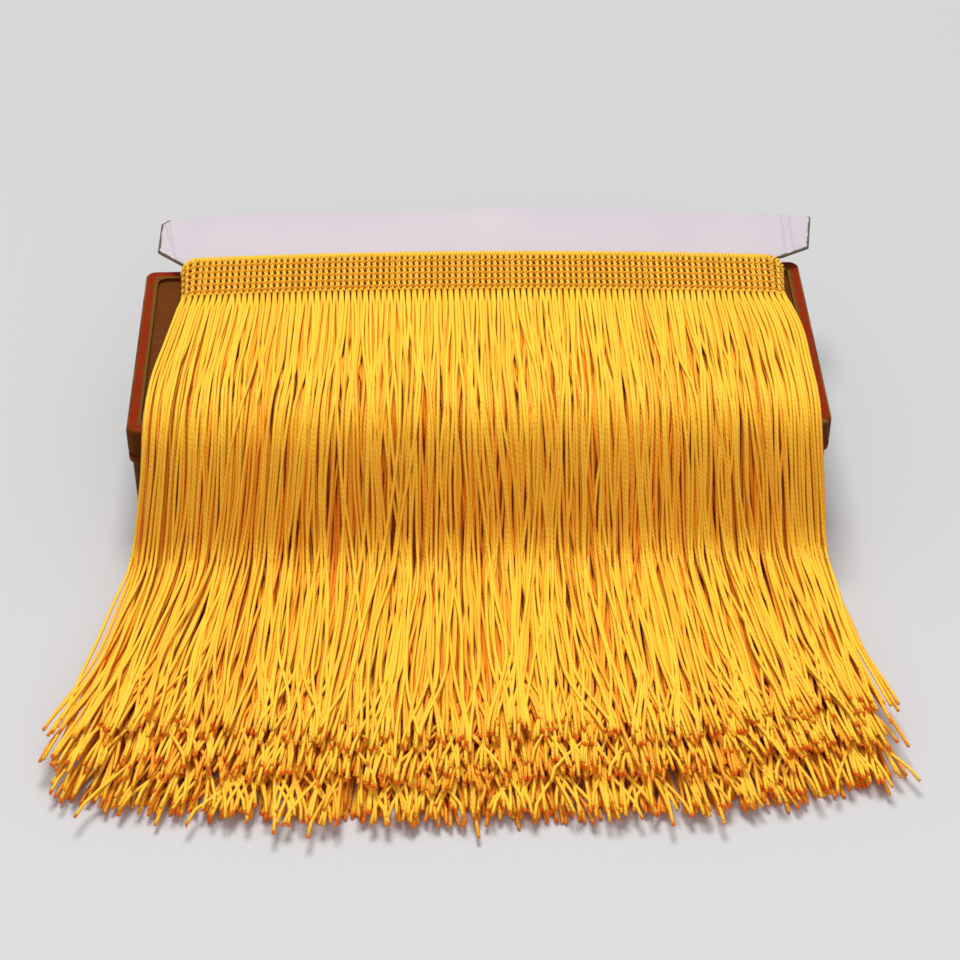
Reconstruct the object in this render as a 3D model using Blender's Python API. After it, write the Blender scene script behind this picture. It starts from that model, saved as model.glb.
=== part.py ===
"""Yellow fringe trim wound on a flat card, lying on a wooden block with its cords falling over the front edge.

Metres, +Z up. Until the last step Y is 0 at the block's front face and grows towards the back; then the
whole is moved so that the origin is the bottom centre of its bounding box. Cords fall towards -Y.
"""

import math
import random

import bmesh
import bpy
from mathutils import Matrix, Vector

MM = 0.001
GAP = 0.3 * MM

# Wooden block
BLOCK_WIDTH = 220 * MM
BLOCK_DEPTH = 86 * MM
BLOCK_HEIGHT = 39 * MM
BLOCK_CORNER_RADIUS = 3 * MM
BLOCK_EDGE_ROUND = 1.2 * MM
RIM_WIDTH = 4.5 * MM
RECESS_DEPTH = 1.2 * MM
MOULDING_TOP = 27 * MM
MOULDING_SLOPE = 1.3 * MM
WAIST_INSET = 0.9 * MM

# Wound heading: a knitted tape, wound flat round the neck of the card
HEADING_WIDTH = 200 * MM
HEADING_HEIGHT = 17.5 * MM
STACK_FRONT = 8.0 * MM
STACK_BACK = 10.5 * MM
TURNS = 4
TURN_STEP = 0.35 * MM
CHAIN_ROWS = 6
RIB_RISE = 0.45 * MM
SLOT_HALF = 0.85 * MM
CROWN = 2.2 * MM
END_SEGMENTS = 6
CROWN_SEGMENTS = 8
PACK_CENTRE_X = 2.6 * MM
PACK_FRONT_Y = 59.3 * MM
PACK_TURN = math.radians(-1.0)

# Card: its neck is inside the winding, its wider flange shows behind it
CARD_THICKNESS = 1.0 * MM
NECK_HALF_WIDTH = 93 * MM
NECK_FRONT = 0.8 * MM
SHOW_NECK = 3.5 * MM
FLANGE_LEFT = -109.3 * MM
FLANGE_RIGHT = 112.5 * MM
FLANGE_DEPTH = 28.2 * MM
FLANGE_CHAMFER = (9.0 * MM, 7.8 * MM)
FLANGE_CORNER = (2.5 * MM, 2.0 * MM)
FLANGE_SLANT = 2.4 * MM
FLANGE_ARCH = 2.4 * MM
ARCH_SPAN = 110 * MM
CARD_STATIONS = 12

# Fringe: three tiers of locks, each tier fused to a strip that is parted from the heading
LOCKS_PER_TIER = 62
LOCK_THICKNESS = 3.2 * MM
THINNEST_LOCK = 0.86
LOCK_FILL = 0.76
TIP_FILL = 0.70
TIER_PITCH = 3.8 * MM
STRIP_DEPTH = 2.0 * MM
STRIP_HEIGHT = 2.0 * MM
STRIP_BASE = 0.4 * MM
FLARE_LEFT = 0.235
FLARE_RIGHT = 0.125
WANDER = 1.3 * MM
WANDER_LENGTH = 58 * MM
REACH_DROP = 10 * MM
TIP_RAGGED = 6.5 * MM

# One row a tier: how far its tips reach in front of the block, and its random seed
TIERS = (
    {"name": "fringe_lower", "level": 0, "reach": 128 * MM, "seed": 3},
    {"name": "fringe_middle", "level": 1, "reach": 118 * MM, "seed": 8},
    {"name": "fringe_upper", "level": 2, "reach": 105 * MM, "seed": 5},
)

# The bed that the lowest tier lies on, from the heading to the floor: Y, and height above the floor
BED = (
    {"place": "over the recess", "y": 32 * MM, "z": BLOCK_HEIGHT + 1.2 * MM},
    {"place": "brow, behind the edge", "y": 8 * MM, "z": BLOCK_HEIGHT + 2.6 * MM},
    {"place": "brow, over the edge", "y": -1.2 * MM, "z": BLOCK_HEIGHT + 2.1 * MM},
    {"place": "brow, before the edge", "y": -5.5 * MM, "z": BLOCK_HEIGHT - 3.5 * MM},
    {"place": "foot, top", "y": -19.5 * MM, "z": 9.5 * MM},
    {"place": "foot, bottom", "y": -26 * MM, "z": 2.6 * MM},
    {"place": "floor", "y": -36 * MM, "z": 0.0},
)

COLOURS = {
    "cord": (0.90, 0.52, 0.03),
    "heading": (0.72, 0.42, 0.03),
    "card": (0.74, 0.70, 0.74),
    "wood": (0.18, 0.05, 0.015),
}


def clear_scene():
    for old in list(bpy.data.objects):
        bpy.data.objects.remove(old, do_unlink=True)


def make_material(name, colour, roughness):
    material = bpy.data.materials.new(name)
    material.use_nodes = True
    shader = material.node_tree.nodes["Principled BSDF"]
    shader.inputs["Base Color"].default_value = (*colour, 1)
    shader.inputs["Roughness"].default_value = roughness
    shader.inputs["Metallic"].default_value = 0
    return material


def add_object(name, mesh, collection, material):
    """Puts a finished bmesh in the scene as one named object."""
    bmesh.ops.recalc_face_normals(mesh, faces=mesh.faces)
    data = bpy.data.meshes.new(name)
    mesh.to_mesh(data)
    mesh.free()
    data.materials.append(material)
    made = bpy.data.objects.new(name, data)
    collection.objects.link(made)
    return made


def bridge(mesh, first, second):
    """Joins two rings of vertices with a band of quads."""
    count = len(first)
    for i in range(count):
        j = (i + 1) % count
        mesh.faces.new((first[i], first[j], second[j], second[i]))


def crown_at(u):
    """How much of the crown is left at u, from 1 at mid-length to 0 at the ends."""
    return max(0.0, 1 - (2 * u / HEADING_WIDTH) ** 2)


def stack_at(v):
    """Thickness of the wound stack, v behind the heading's front edge."""
    return STACK_FRONT + (STACK_BACK - STACK_FRONT) * v / HEADING_HEIGHT


def lay_pack(u, v, w):
    """The pack's own place (along it, behind its front edge, above the recess) in the block's frame."""
    turned = Matrix.Rotation(PACK_TURN, 3, "Z") @ Vector((u, v, 0))
    floor = BLOCK_HEIGHT - RECESS_DEPTH + GAP
    return Vector((PACK_CENTRE_X + turned.x, PACK_FRONT_Y + turned.y, floor + w))


def raise_faces(mesh, faces):
    """Replaces faces by a copy that is joined to the rest by a band, and returns the copy."""
    grown = bmesh.ops.extrude_face_region(mesh, geom=faces)
    bmesh.ops.delete(mesh, geom=faces, context="FACES_ONLY")
    return [g for g in grown["geom"] if isinstance(g, bmesh.types.BMFace)]


def corners_of(faces):
    return list({v for face in faces for v in face.verts})


def build_block(collection, material):
    """A solid block with rounded corners, a moulding line round its sides and a shallow recess in its top."""
    mesh = bmesh.new()
    bmesh.ops.create_cube(mesh, size=1)
    bmesh.ops.scale(mesh, vec=(BLOCK_WIDTH, BLOCK_DEPTH, BLOCK_HEIGHT), verts=mesh.verts)
    bmesh.ops.translate(mesh, vec=(0, BLOCK_DEPTH / 2, BLOCK_HEIGHT / 2), verts=mesh.verts)
    upright = [e for e in mesh.edges if abs(e.verts[0].co.z - e.verts[1].co.z) > BLOCK_HEIGHT / 2]
    bmesh.ops.bevel(
        mesh, geom=upright, offset=BLOCK_CORNER_RADIUS, segments=3, affect="EDGES", profile=0.5, material=-1
    )
    for height in (MOULDING_TOP - MOULDING_SLOPE, MOULDING_TOP):
        geometry = list(mesh.verts) + list(mesh.edges) + list(mesh.faces)
        bmesh.ops.bisect_plane(mesh, geom=geometry, plane_co=(0, 0, height), plane_no=(0, 0, 1))
    waist = [v for v in mesh.verts if v.co.z < MOULDING_TOP - MOULDING_SLOPE / 2]
    narrower = (1 - 2 * WAIST_INSET / BLOCK_WIDTH, 1 - 2 * WAIST_INSET / BLOCK_DEPTH, 1)
    middle = Matrix.Translation((0, -BLOCK_DEPTH / 2, 0))
    bmesh.ops.scale(mesh, vec=narrower, verts=waist, space=middle)
    top = [f for f in mesh.faces if f.normal.z > 0.9 and f.calc_center_median().z > BLOCK_HEIGHT - MM]
    within_rim = raise_faces(mesh, top)
    smaller = (1 - 2 * RIM_WIDTH / BLOCK_WIDTH, 1 - 2 * RIM_WIDTH / BLOCK_DEPTH, 1)
    bmesh.ops.scale(mesh, vec=smaller, verts=corners_of(within_rim), space=middle)
    sunk = raise_faces(mesh, within_rim)
    bmesh.ops.translate(mesh, vec=(0, 0, -RECESS_DEPTH), verts=corners_of(sunk))
    topmost = [e for e in mesh.edges if all(v.co.z > BLOCK_HEIGHT - MM / 10 for v in e.verts)]
    outer = [e for e in topmost if any(is_outer_side(f) for f in e.link_faces)]
    bmesh.ops.bevel(mesh, geom=outer, offset=BLOCK_EDGE_ROUND, segments=2, affect="EDGES", profile=0.5, material=-1)
    return add_object("wood_block", mesh, collection, material)


def is_outer_side(face):
    """Whether a face belongs to the block's outer side, and not to its rim or the wall of its recess."""
    return min(v.co.z for v in face.verts) < BLOCK_HEIGHT - 2 * RECESS_DEPTH


def racetrack():
    """Stations round the pack: (side, across, up), up and across being shares of the local half thickness."""
    stations = []
    for i in range(CROWN_SEGMENTS + 1):
        stations.append((-1 + 2 * i / CROWN_SEGMENTS, 0.0, 1.0))
    for i in range(1, END_SEGMENTS):
        angle = math.pi * i / END_SEGMENTS
        stations.append((1, math.sin(angle), math.cos(angle)))
    stations.append((1, 0.0, -1.0))
    stations.append((-1, 0.0, -1.0))
    for i in range(1, END_SEGMENTS):
        angle = math.pi * i / END_SEGMENTS
        stations.append((-1, -math.sin(angle), -math.cos(angle)))
    return stations


def wall_profile():
    """The wall of the winding in section: (v, share of the way from the slot to the outside, rise)."""
    profile = []
    for turn in range(TURNS):
        profile.append((TURN_STEP, turn / TURNS, 0.0))
        profile.append((0.0, (turn + 0.5) / TURNS, 0.0))
    for row in range(CHAIN_ROWS):
        valley = HEADING_HEIGHT * row / CHAIN_ROWS
        profile.append((max(valley, TURN_STEP), 1.0, 0.0))
        profile.append((valley + HEADING_HEIGHT * 0.5 / CHAIN_ROWS, 1.0, RIB_RISE))
    for turn in reversed(range(TURNS)):
        profile.append((HEADING_HEIGHT - TURN_STEP, (turn + 1) / TURNS, 0.0))
        profile.append((HEADING_HEIGHT, (turn + 0.5) / TURNS, 0.0))
    profile.append((HEADING_HEIGHT - TURN_STEP, 0.0, 0.0))
    return profile


def build_winding(collection, material):
    """The heading tape's turns as one ring round the card's neck, with its turns and chain rows raised."""
    mesh = bmesh.new()
    rings = []
    bend_centre = (HEADING_WIDTH - STACK_BACK) / 2 - RIB_RISE
    for side, across, up in racetrack():
        ring = []
        for v, share, rise in wall_profile():
            middle = stack_at(v) / 2
            half = SLOT_HALF + (middle - RIB_RISE - SLOT_HALF) * share + rise
            u = side * bend_centre + across * half
            w = middle + up * half
            ring.append(mesh.verts.new(lay_pack(u, v, w + CROWN * crown_at(u) * w / stack_at(v))))
        rings.append(ring)
    for i, ring in enumerate(rings):
        bridge(mesh, ring, rings[(i + 1) % len(rings)])
    return add_object("heading_winding", mesh, collection, material)


def card_outline():
    """Corners of the card as cut, from the near left one round to the near right one."""
    far = HEADING_HEIGHT + FLANGE_DEPTH
    near = HEADING_HEIGHT + SHOW_NECK
    wide, deep = FLANGE_CHAMFER
    round_wide, round_deep = FLANGE_CORNER
    return (
        (-NECK_HALF_WIDTH, NECK_FRONT),
        (-NECK_HALF_WIDTH, near),
        (FLANGE_LEFT + wide, near),
        (FLANGE_LEFT, near + deep),
        (FLANGE_LEFT, far - round_deep),
        (FLANGE_LEFT + round_wide, far),
        (FLANGE_RIGHT - round_wide, far),
        (FLANGE_RIGHT, far - round_deep),
        (FLANGE_RIGHT - FLANGE_SLANT, near + deep),
        (FLANGE_RIGHT - FLANGE_SLANT - wide, near),
        (NECK_HALF_WIDTH, near),
        (NECK_HALF_WIDTH, NECK_FRONT),
    )


def card_height(u, v):
    """Height of the card's middle plane: it lies in the winding's slot and arches up towards its far edge."""
    lift = CROWN / 2 * crown_at(u)
    beyond = max(0.0, v - HEADING_HEIGHT) / FLANGE_DEPTH
    return stack_at(v) / 2 + lift + FLANGE_ARCH * beyond * max(0.0, 1 - (u / ARCH_SPAN) ** 2)


def build_card(collection, material):
    """A flat card cut to its outline, divided along its length and then arched."""
    mesh = bmesh.new()
    flat = [mesh.verts.new((u, v, -CARD_THICKNESS / 2)) for u, v in card_outline()]
    mesh.faces.new(flat)
    for i in range(1, CARD_STATIONS):
        u = FLANGE_LEFT + (FLANGE_RIGHT - FLANGE_LEFT) * i / CARD_STATIONS
        geometry = list(mesh.verts) + list(mesh.edges) + list(mesh.faces)
        bmesh.ops.bisect_plane(mesh, geom=geometry, plane_co=(u, 0, 0), plane_no=(1, 0, 0))
    geometry = list(mesh.verts) + list(mesh.edges) + list(mesh.faces)
    bmesh.ops.bisect_plane(mesh, geom=geometry, plane_co=(0, HEADING_HEIGHT, 0), plane_no=(0, 1, 0))
    raised = bmesh.ops.extrude_face_region(mesh, geom=list(mesh.faces), use_keep_orig=True)
    upper = [g for g in raised["geom"] if isinstance(g, bmesh.types.BMVert)]
    bmesh.ops.translate(mesh, vec=(0, 0, CARD_THICKNESS), verts=upper)
    for vert in mesh.verts:
        u, v, w = vert.co
        vert.co = lay_pack(u, v, w + card_height(u, v))
    return add_object("winding_card", mesh, collection, material)


def flare(across, travelled):
    """Share by which the fringe has spread sideways, after that share of its length."""
    most = FLARE_LEFT if across < 0 else FLARE_RIGHT
    return 1 + most * travelled


def tip_reach(tier, across, ragged):
    """Y of a lock's tip: the row of tips bows forward at its middle, and is cut a little ragged."""
    return -(tier["reach"] - REACH_DROP * across * across + ragged)


def bed_line(tip_y):
    """The stations of one lock along the bed, with the floor's share of them spread to its tip."""
    floor_y = BED[-1]["y"]
    line = [(row["y"], row["z"]) for row in BED]
    line.append((floor_y + (tip_y - floor_y) * 0.5, 0.0))
    line.append((tip_y, 0.0))
    return line


def lock_sections(tier, root, across, tip_y, pitch, thickness):
    """Three corners of a lock at each station: left and right on its bed, and its ridge."""
    line = [(root.y, root.z)] + bed_line(tip_y)
    run = [0.0]
    for (y0, z0), (y1, z1) in zip(line, line[1:]):
        run.append(run[-1] + math.hypot(y1 - y0, z1 - z0))
    sections = []
    for i in range(1, len(line)):
        before, after = line[i - 1], line[min(i + 1, len(line) - 1)]
        along = Vector((0, after[0] - before[0], after[1] - before[1])).normalized()
        if line[i][1] == 0:
            along = Vector((0, -1, 0))
        outward = Vector((0, along.z, -along.y))
        travelled = run[i] / run[-1]
        spread = flare(across, travelled)
        wave = WANDER * travelled * math.sin(2 * math.pi * root.x / WANDER_LENGTH + 5 * travelled + tier["seed"])
        x = PACK_CENTRE_X + (root.x - PACK_CENTRE_X) * spread + wave
        width = pitch * spread * (LOCK_FILL + (TIP_FILL - LOCK_FILL) * travelled)
        foot = Vector((x, line[i][0], line[i][1])) + outward * TIER_PITCH * tier["level"]
        half = Vector((width / 2, 0, 0))
        sections.append((foot - half, foot + half, foot + outward * thickness))
    return sections


def build_fringe(tier, collection, material):
    """One tier: a narrow strip in front of the heading, with a row of three-sided locks grown from its face."""
    rng = random.Random(tier["seed"])
    mesh = bmesh.new()
    pitch = HEADING_WIDTH / LOCKS_PER_TIER
    low = STRIP_BASE + (STACK_FRONT - STRIP_HEIGHT - 2 * STRIP_BASE) / (len(TIERS) - 1) * tier["level"]
    back, front = -GAP, -GAP - STRIP_DEPTH
    shift = (tier["level"] - 1) * pitch / len(TIERS)
    rows = []
    for i in range(LOCKS_PER_TIER):
        u = (i + 0.5) * pitch - HEADING_WIDTH / 2 + shift
        lift = CROWN * crown_at(u) * low / STACK_FRONT
        corners = {
            "back_low": (u, back, low + lift),
            "back_high": (u, back, low + lift + STRIP_HEIGHT),
            "left": (u - pitch * LOCK_FILL / 2, front, low + lift),
            "right": (u + pitch * LOCK_FILL / 2, front, low + lift),
            "ridge": (u, front, low + lift + STRIP_HEIGHT),
        }
        rows.append({key: mesh.verts.new(lay_pack(*place)) for key, place in corners.items()})
    for i, row in enumerate(rows):
        mesh.faces.new((row["back_low"], row["left"], row["right"]))
        root = (row["left"].co + row["right"].co) / 2
        across = (root.x - PACK_CENTRE_X) / (HEADING_WIDTH / 2)
        ragged = rng.uniform(-TIP_RAGGED, TIP_RAGGED)
        thickness = LOCK_THICKNESS * rng.uniform(THINNEST_LOCK, 1.0)
        tip_y = tip_reach(tier, across, ragged)
        ring = (row["left"], row["right"], row["ridge"])
        for section in lock_sections(tier, root, across, tip_y, pitch, thickness):
            following = tuple(mesh.verts.new(place) for place in section)
            bridge(mesh, ring, following)
            ring = following
        mesh.faces.new(ring)
        if i == 0:
            continue
        last = rows[i - 1]
        mesh.faces.new((last["back_low"], last["back_high"], row["back_high"], row["back_low"]))
        mesh.faces.new((last["back_high"], last["ridge"], row["ridge"], row["back_high"]))
        mesh.faces.new((last["back_low"], row["back_low"], row["left"], last["right"]))
        mesh.faces.new((last["right"], row["left"], row["ridge"], last["ridge"]))
    for row, side in ((rows[0], "left"), (rows[-1], "right")):
        mesh.faces.new((row["back_low"], row["back_high"], row["ridge"], row[side]))
    return add_object(tier["name"], mesh, collection, material)


def move_to_origin(pieces):
    """Moves the meshes so that the origin is the bottom centre of the whole."""
    points = [v.co for piece in pieces for v in piece.data.vertices]
    low = Vector(min(p[axis] for p in points) for axis in range(3))
    high = Vector(max(p[axis] for p in points) for axis in range(3))
    shift = Matrix.Translation((-(low.x + high.x) / 2, -(low.y + high.y) / 2, -low.z))
    for piece in pieces:
        piece.data.transform(shift)


def main():
    clear_scene()
    collection = bpy.data.collections.new("fringe_trim_on_card")
    bpy.context.scene.collection.children.link(collection)
    cord = make_material("cord", COLOURS["cord"], 0.55)
    heading = make_material("heading", COLOURS["heading"], 0.6)
    card = make_material("card", COLOURS["card"], 0.5)
    wood = make_material("wood", COLOURS["wood"], 0.4)
    pieces = [
        build_block(collection, wood),
        build_card(collection, card),
        build_winding(collection, heading),
    ]
    pieces += [build_fringe(tier, collection, cord) for tier in TIERS]
    move_to_origin(pieces)


main()
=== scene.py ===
# %% [markdown]
# # A cord fringe wound on a card
#
# This lesson dresses a finished set of solids: a golden yellow cord fringe, wound flat round a pale card.
# The pack lies on a lacquered wooden block, and its cords run over the front edge and down to the table.
# The solids say where everything is. Each step below gives one piece its real surface.

# %% Load the solids
import math

import bmesh
import bpy
import numpy as np
from mathutils import Matrix, Vector


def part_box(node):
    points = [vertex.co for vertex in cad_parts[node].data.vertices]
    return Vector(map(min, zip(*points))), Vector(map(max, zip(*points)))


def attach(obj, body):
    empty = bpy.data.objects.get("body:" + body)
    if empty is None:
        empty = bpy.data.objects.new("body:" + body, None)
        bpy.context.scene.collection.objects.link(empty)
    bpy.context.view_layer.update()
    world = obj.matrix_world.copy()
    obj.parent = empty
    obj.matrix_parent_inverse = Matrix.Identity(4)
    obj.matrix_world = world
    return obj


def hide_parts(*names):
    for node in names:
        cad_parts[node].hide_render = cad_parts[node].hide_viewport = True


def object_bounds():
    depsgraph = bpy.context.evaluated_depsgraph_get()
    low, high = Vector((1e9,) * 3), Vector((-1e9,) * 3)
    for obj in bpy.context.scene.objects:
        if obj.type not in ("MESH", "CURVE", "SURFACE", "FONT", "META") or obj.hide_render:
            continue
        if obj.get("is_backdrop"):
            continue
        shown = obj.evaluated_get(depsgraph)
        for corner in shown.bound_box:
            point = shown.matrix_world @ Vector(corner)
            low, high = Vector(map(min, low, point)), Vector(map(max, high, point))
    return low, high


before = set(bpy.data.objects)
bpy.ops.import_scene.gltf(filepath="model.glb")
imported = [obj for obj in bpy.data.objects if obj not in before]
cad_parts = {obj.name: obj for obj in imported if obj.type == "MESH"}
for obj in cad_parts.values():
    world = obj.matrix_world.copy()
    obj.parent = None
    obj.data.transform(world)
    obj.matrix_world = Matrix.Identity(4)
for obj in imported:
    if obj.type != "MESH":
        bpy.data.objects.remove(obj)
solids_box = [[float(c) for c in corner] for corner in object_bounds()]
MM = 0.001
print("solids reach from", solids_box[0], "to", solids_box[1])

# %% [markdown]
# ## Where things are
#
# The block's solid gives a handy place to measure from: the middle of its front face, on the table.
# The wound heading lies a degree askew on the block, so it gets a small frame of its own. In it, u runs
# along the heading, v goes back from the heading's front edge and w goes up from its underside.

# %% Two places to measure from
block_low, block_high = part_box("wood_block")
winding_low, winding_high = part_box("heading_winding")
BLOCK_WIDTH, BLOCK_DEPTH, BLOCK_HEIGHT = block_high - block_low
FRONT = Vector(((block_low.x + block_high.x) / 2, block_low.y, 0))

HEADING_WIDTH = 200 * MM
HEADING_HEIGHT = 17.5 * MM
# The wound stack's thickness at its front and back edges, and how far it bulges at mid-length
STACK_FRONT = 8.0 * MM
STACK_BACK = 10.5 * MM
CROWN = 2.2 * MM
# How far the solid's ribs stand out, and where the winding's bends at its two ends are centred
RIB_RISE = 0.45 * MM
BEND_CENTRE = (HEADING_WIDTH - STACK_BACK) / 2 - RIB_RISE
PACK_ANGLE = math.radians(-1)
PACK_TURN = Matrix.Rotation(PACK_ANGLE, 3, "Z")
PACK_MIDDLE = (winding_low + winding_high) / 2


def crown_at(u):
    """How much of the pack's crown is left at u: 1 at mid-length, 0 at its ends."""
    return np.maximum(0, 1 - (2 * u / HEADING_WIDTH) ** 2)


def stack_at(v):
    """Thickness of the wound stack at v."""
    return STACK_FRONT + (STACK_BACK - STACK_FRONT) * v / HEADING_HEIGHT


def from_pack(u, v, w):
    """A place given in the pack's frame, in the frame of the whole."""
    turned = PACK_TURN @ Vector((u, v - HEADING_HEIGHT / 2, 0))
    return Vector((PACK_MIDDLE.x + turned.x, PACK_MIDDLE.y + turned.y, winding_low.z + w))


print("the block's front face is at y =", round(FRONT.y, 4))
print("the pack's middle is at", tuple(round(c, 4) for c in PACK_MIDDLE))

# %% [markdown]
# ## The camera, the lights and the floor
#
# The view looks down on the pack from the side of the cut tips, at about forty degrees, through a lens of
# 90 mm. Setting it first means that every later piece can be judged in the picture. The light is one soft
# panel overhead, behind the block, which leaves the steep fall of the cords darker than the parts that lie
# flat. A second, weaker panel and a pale world fill the shadows.

# %% Camera
def add_to_scene(name, data):
    """A new object in the scene, at the origin, that shows some data."""
    added = bpy.data.objects.new(name, data)
    bpy.context.scene.collection.objects.link(added)
    return added


CAMERA_PITCH = math.radians(40.37)
CAMERA_YAW = math.radians(1.61)
CAMERA_PLACE = FRONT + Vector((-16.3 * MM, -578.2 * MM, 508.8 * MM))
LENS = 90.0
SENSOR = 36.0

camera_data = bpy.data.cameras.new("view")
camera_data.lens = LENS
camera_data.sensor_width = SENSOR
camera = add_to_scene("view", camera_data)
camera.matrix_world = (
    Matrix.Translation(CAMERA_PLACE)
    @ Matrix.Rotation(-CAMERA_YAW, 4, "Z")
    @ Matrix.Rotation(math.pi / 2 - CAMERA_PITCH, 4, "X")
)
bpy.context.scene.camera = camera
print("camera stands", round(CAMERA_PLACE.z, 3), "m above the table")

# %% Lights, world and view
def add_panel(name, place, target, size, power, colour):
    """A soft square light at a place, facing a target."""
    data = bpy.data.lights.new(name, "AREA")
    data.shape = "SQUARE"
    data.size = size
    data.energy = power
    data.color = colour
    light = add_to_scene(name, data)
    light.location = place
    light.rotation_euler = (Vector(target) - Vector(place)).to_track_quat("-Z", "Y").to_euler()


WARM_WHITE = (1.0, 0.985, 0.96)
COOL_WHITE = (0.98, 0.985, 1.0)
ROOM_COLOUR = (0.93, 0.96, 1.0, 1)
ROOM_STRENGTH = 0.45

add_panel(
    "overhead_panel", place=(-0.10, 0.72, 2.0), target=(0, -0.02, 0), size=0.85, power=39.5, colour=WARM_WHITE
)
add_panel(
    "front_panel", place=(0.30, -1.3, 0.9), target=(0, -0.1, 0), size=0.9, power=3.2, colour=COOL_WHITE
)

world = bpy.data.worlds.new("pale_room")
world.use_nodes = True
room = world.node_tree.nodes["Background"]
room.inputs["Color"].default_value = ROOM_COLOUR
room.inputs["Strength"].default_value = ROOM_STRENGTH
bpy.context.scene.world = world
bpy.context.scene.view_settings.view_transform = "Standard"

# %% [markdown]
# ## A few helpers for shader nodes
#
# Every finish here is a small graph of nodes. These helpers add a node, set its values and link it in one
# line, so that the recipes below read like recipes.

# %% Shader helpers
def new_material(name):
    """A material with its Principled shader, as (material, node tree, shader)."""
    material = bpy.data.materials.new(name)
    material.use_nodes = True
    return material, material.node_tree, material.node_tree.nodes["Principled BSDF"]


def put(socket, value, tree):
    """Sets a socket to a value, or links an output to it."""
    if isinstance(value, bpy.types.NodeSocket):
        tree.links.new(value, socket)
    else:
        socket.default_value = value


def math_node(tree, operation, first, second=0.0, clamp=False):
    """One sum on one or two values."""
    node = tree.nodes.new("ShaderNodeMath")
    node.operation = operation
    node.use_clamp = clamp
    put(node.inputs[0], first, tree)
    put(node.inputs[1], second, tree)
    return node.outputs[0]


def mix_colours(tree, share, first, second, blend="MIX"):
    """Two colours mixed by a share."""
    node = tree.nodes.new("ShaderNodeMix")
    node.data_type = "RGBA"
    node.blend_type = blend
    put(node.inputs["Factor"], share, tree)
    put(node.inputs["A"], first, tree)
    put(node.inputs["B"], second, tree)
    return node.outputs["Result"]


def smooth_step(tree, value, low, high):
    """0 below low, 1 above high, and a soft step between them."""
    node = tree.nodes.new("ShaderNodeMapRange")
    node.interpolation_type = "SMOOTHSTEP"
    put(node.inputs["Value"], value, tree)
    node.inputs["From Min"].default_value = low
    node.inputs["From Max"].default_value = high
    return node.outputs["Result"]


def noise_value(tree, place, scale, detail=3.0, roughness=0.55):
    """Soft noise from 0 to 1 at a place."""
    node = tree.nodes.new("ShaderNodeTexNoise")
    tree.links.new(place, node.inputs["Vector"])
    node.inputs["Scale"].default_value = scale
    node.inputs["Detail"].default_value = detail
    node.inputs["Roughness"].default_value = roughness
    return node.outputs["Fac"]


def stretched(tree, place, stretch):
    """A place with each axis scaled by its own share."""
    node = tree.nodes.new("ShaderNodeMapping")
    tree.links.new(place, node.inputs["Vector"])
    node.inputs["Scale"].default_value = stretch
    return node.outputs["Vector"]


def object_place(tree):
    """The place of a point on the piece, in metres."""
    return tree.nodes.new("ShaderNodeTexCoord").outputs["Object"]


def attribute_value(tree, name):
    """A number that the mesh carries for each of its points."""
    node = tree.nodes.new("ShaderNodeAttribute")
    node.attribute_name = name
    return node.outputs["Fac"]


def add_bump(tree, shader, height, distance):
    """Raises the surface by a height from 0 to 1, times a distance in metres."""
    node = tree.nodes.new("ShaderNodeBump")
    node.inputs["Strength"].default_value = 1.0
    node.inputs["Distance"].default_value = distance
    tree.links.new(height, node.inputs["Height"])
    tree.links.new(node.outputs["Normal"], shader.inputs["Normal"])


# Most sums are one of these three
def times(tree, first, second):
    return math_node(tree, "MULTIPLY", first, second)


def plus(tree, first, second, clamp=False):
    return math_node(tree, "ADD", first, second, clamp)


def minus(tree, first, second):
    return math_node(tree, "SUBTRACT", first, second)


def axes_of(tree, place):
    """The X, Y and Z of a place."""
    node = tree.nodes.new("ShaderNodeSeparateXYZ")
    tree.links.new(place, node.inputs["Vector"])
    return node.outputs


def paint(tree, shader, colour, roughness):
    """Gives the shader its colour and roughness."""
    tree.links.new(colour, shader.inputs["Base Color"])
    put(shader.inputs["Roughness"], roughness, tree)


print("shader helpers are ready")

# %% [markdown]
# ## The floor
#
# A pale matt sheet, wide enough to fill the view, with painted light that makes it a little lighter towards
# the camera. It is part of the stage and not of the object.

# %% Floor
FLOOR_HALF_WIDTH = 3.0
FLOOR_FAR_DIM = (0.51, 0.505, 0.505, 1)
FLOOR_NEAR_LIT = (0.61, 0.61, 0.62, 1)
# The floor's painted light turns it from its dimmer far tone to its lighter near one between this distance
# behind the origin and before it
FLOOR_FADE = 0.35


def bmesh_to_data(name, mesh):
    """Turns a finished bmesh into mesh data with a name."""
    data = bpy.data.meshes.new(name)
    mesh.to_mesh(data)
    mesh.free()
    return data


def make_floor():
    material, tree, shader = new_material("pale_floor")
    parts = axes_of(tree, object_place(tree))
    # Painted light: the floor is lighter towards the camera
    nearer = smooth_step(tree, parts["Y"], FLOOR_FADE, -FLOOR_FADE)
    colour = mix_colours(tree, nearer, FLOOR_FAR_DIM, FLOOR_NEAR_LIT)
    paint(tree, shader, colour, 0.85)
    mesh = bmesh.new()
    bmesh.ops.create_grid(mesh, x_segments=1, y_segments=1, size=FLOOR_HALF_WIDTH)
    data = bmesh_to_data("floor", mesh)
    data.materials.append(material)
    floor = add_to_scene("floor", data)
    floor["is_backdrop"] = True
    return floor


print("made the", make_floor().name)

# %% [markdown]
# ## The yarn finish
#
# Each cord of the fringe is two glossy plies twisted together. The twist follows the cord, so its pattern
# reads the cord's own UV map: U goes once round, V counts millimetres along it. Sine waves of both give
# the two plies their soft ridges, with painted shade in the grooves between them. The sides that face down
# or forward get painted shade: they are mixed towards a deeper orange, as light that goes through yellow
# yarn comes out orange. A tone for each cord, with painted shade where other cords cover it, and the
# painted orange shade of its cut end come from attributes that the mesh carries.

# %% Yarn materials
PLIES = 2
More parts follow.
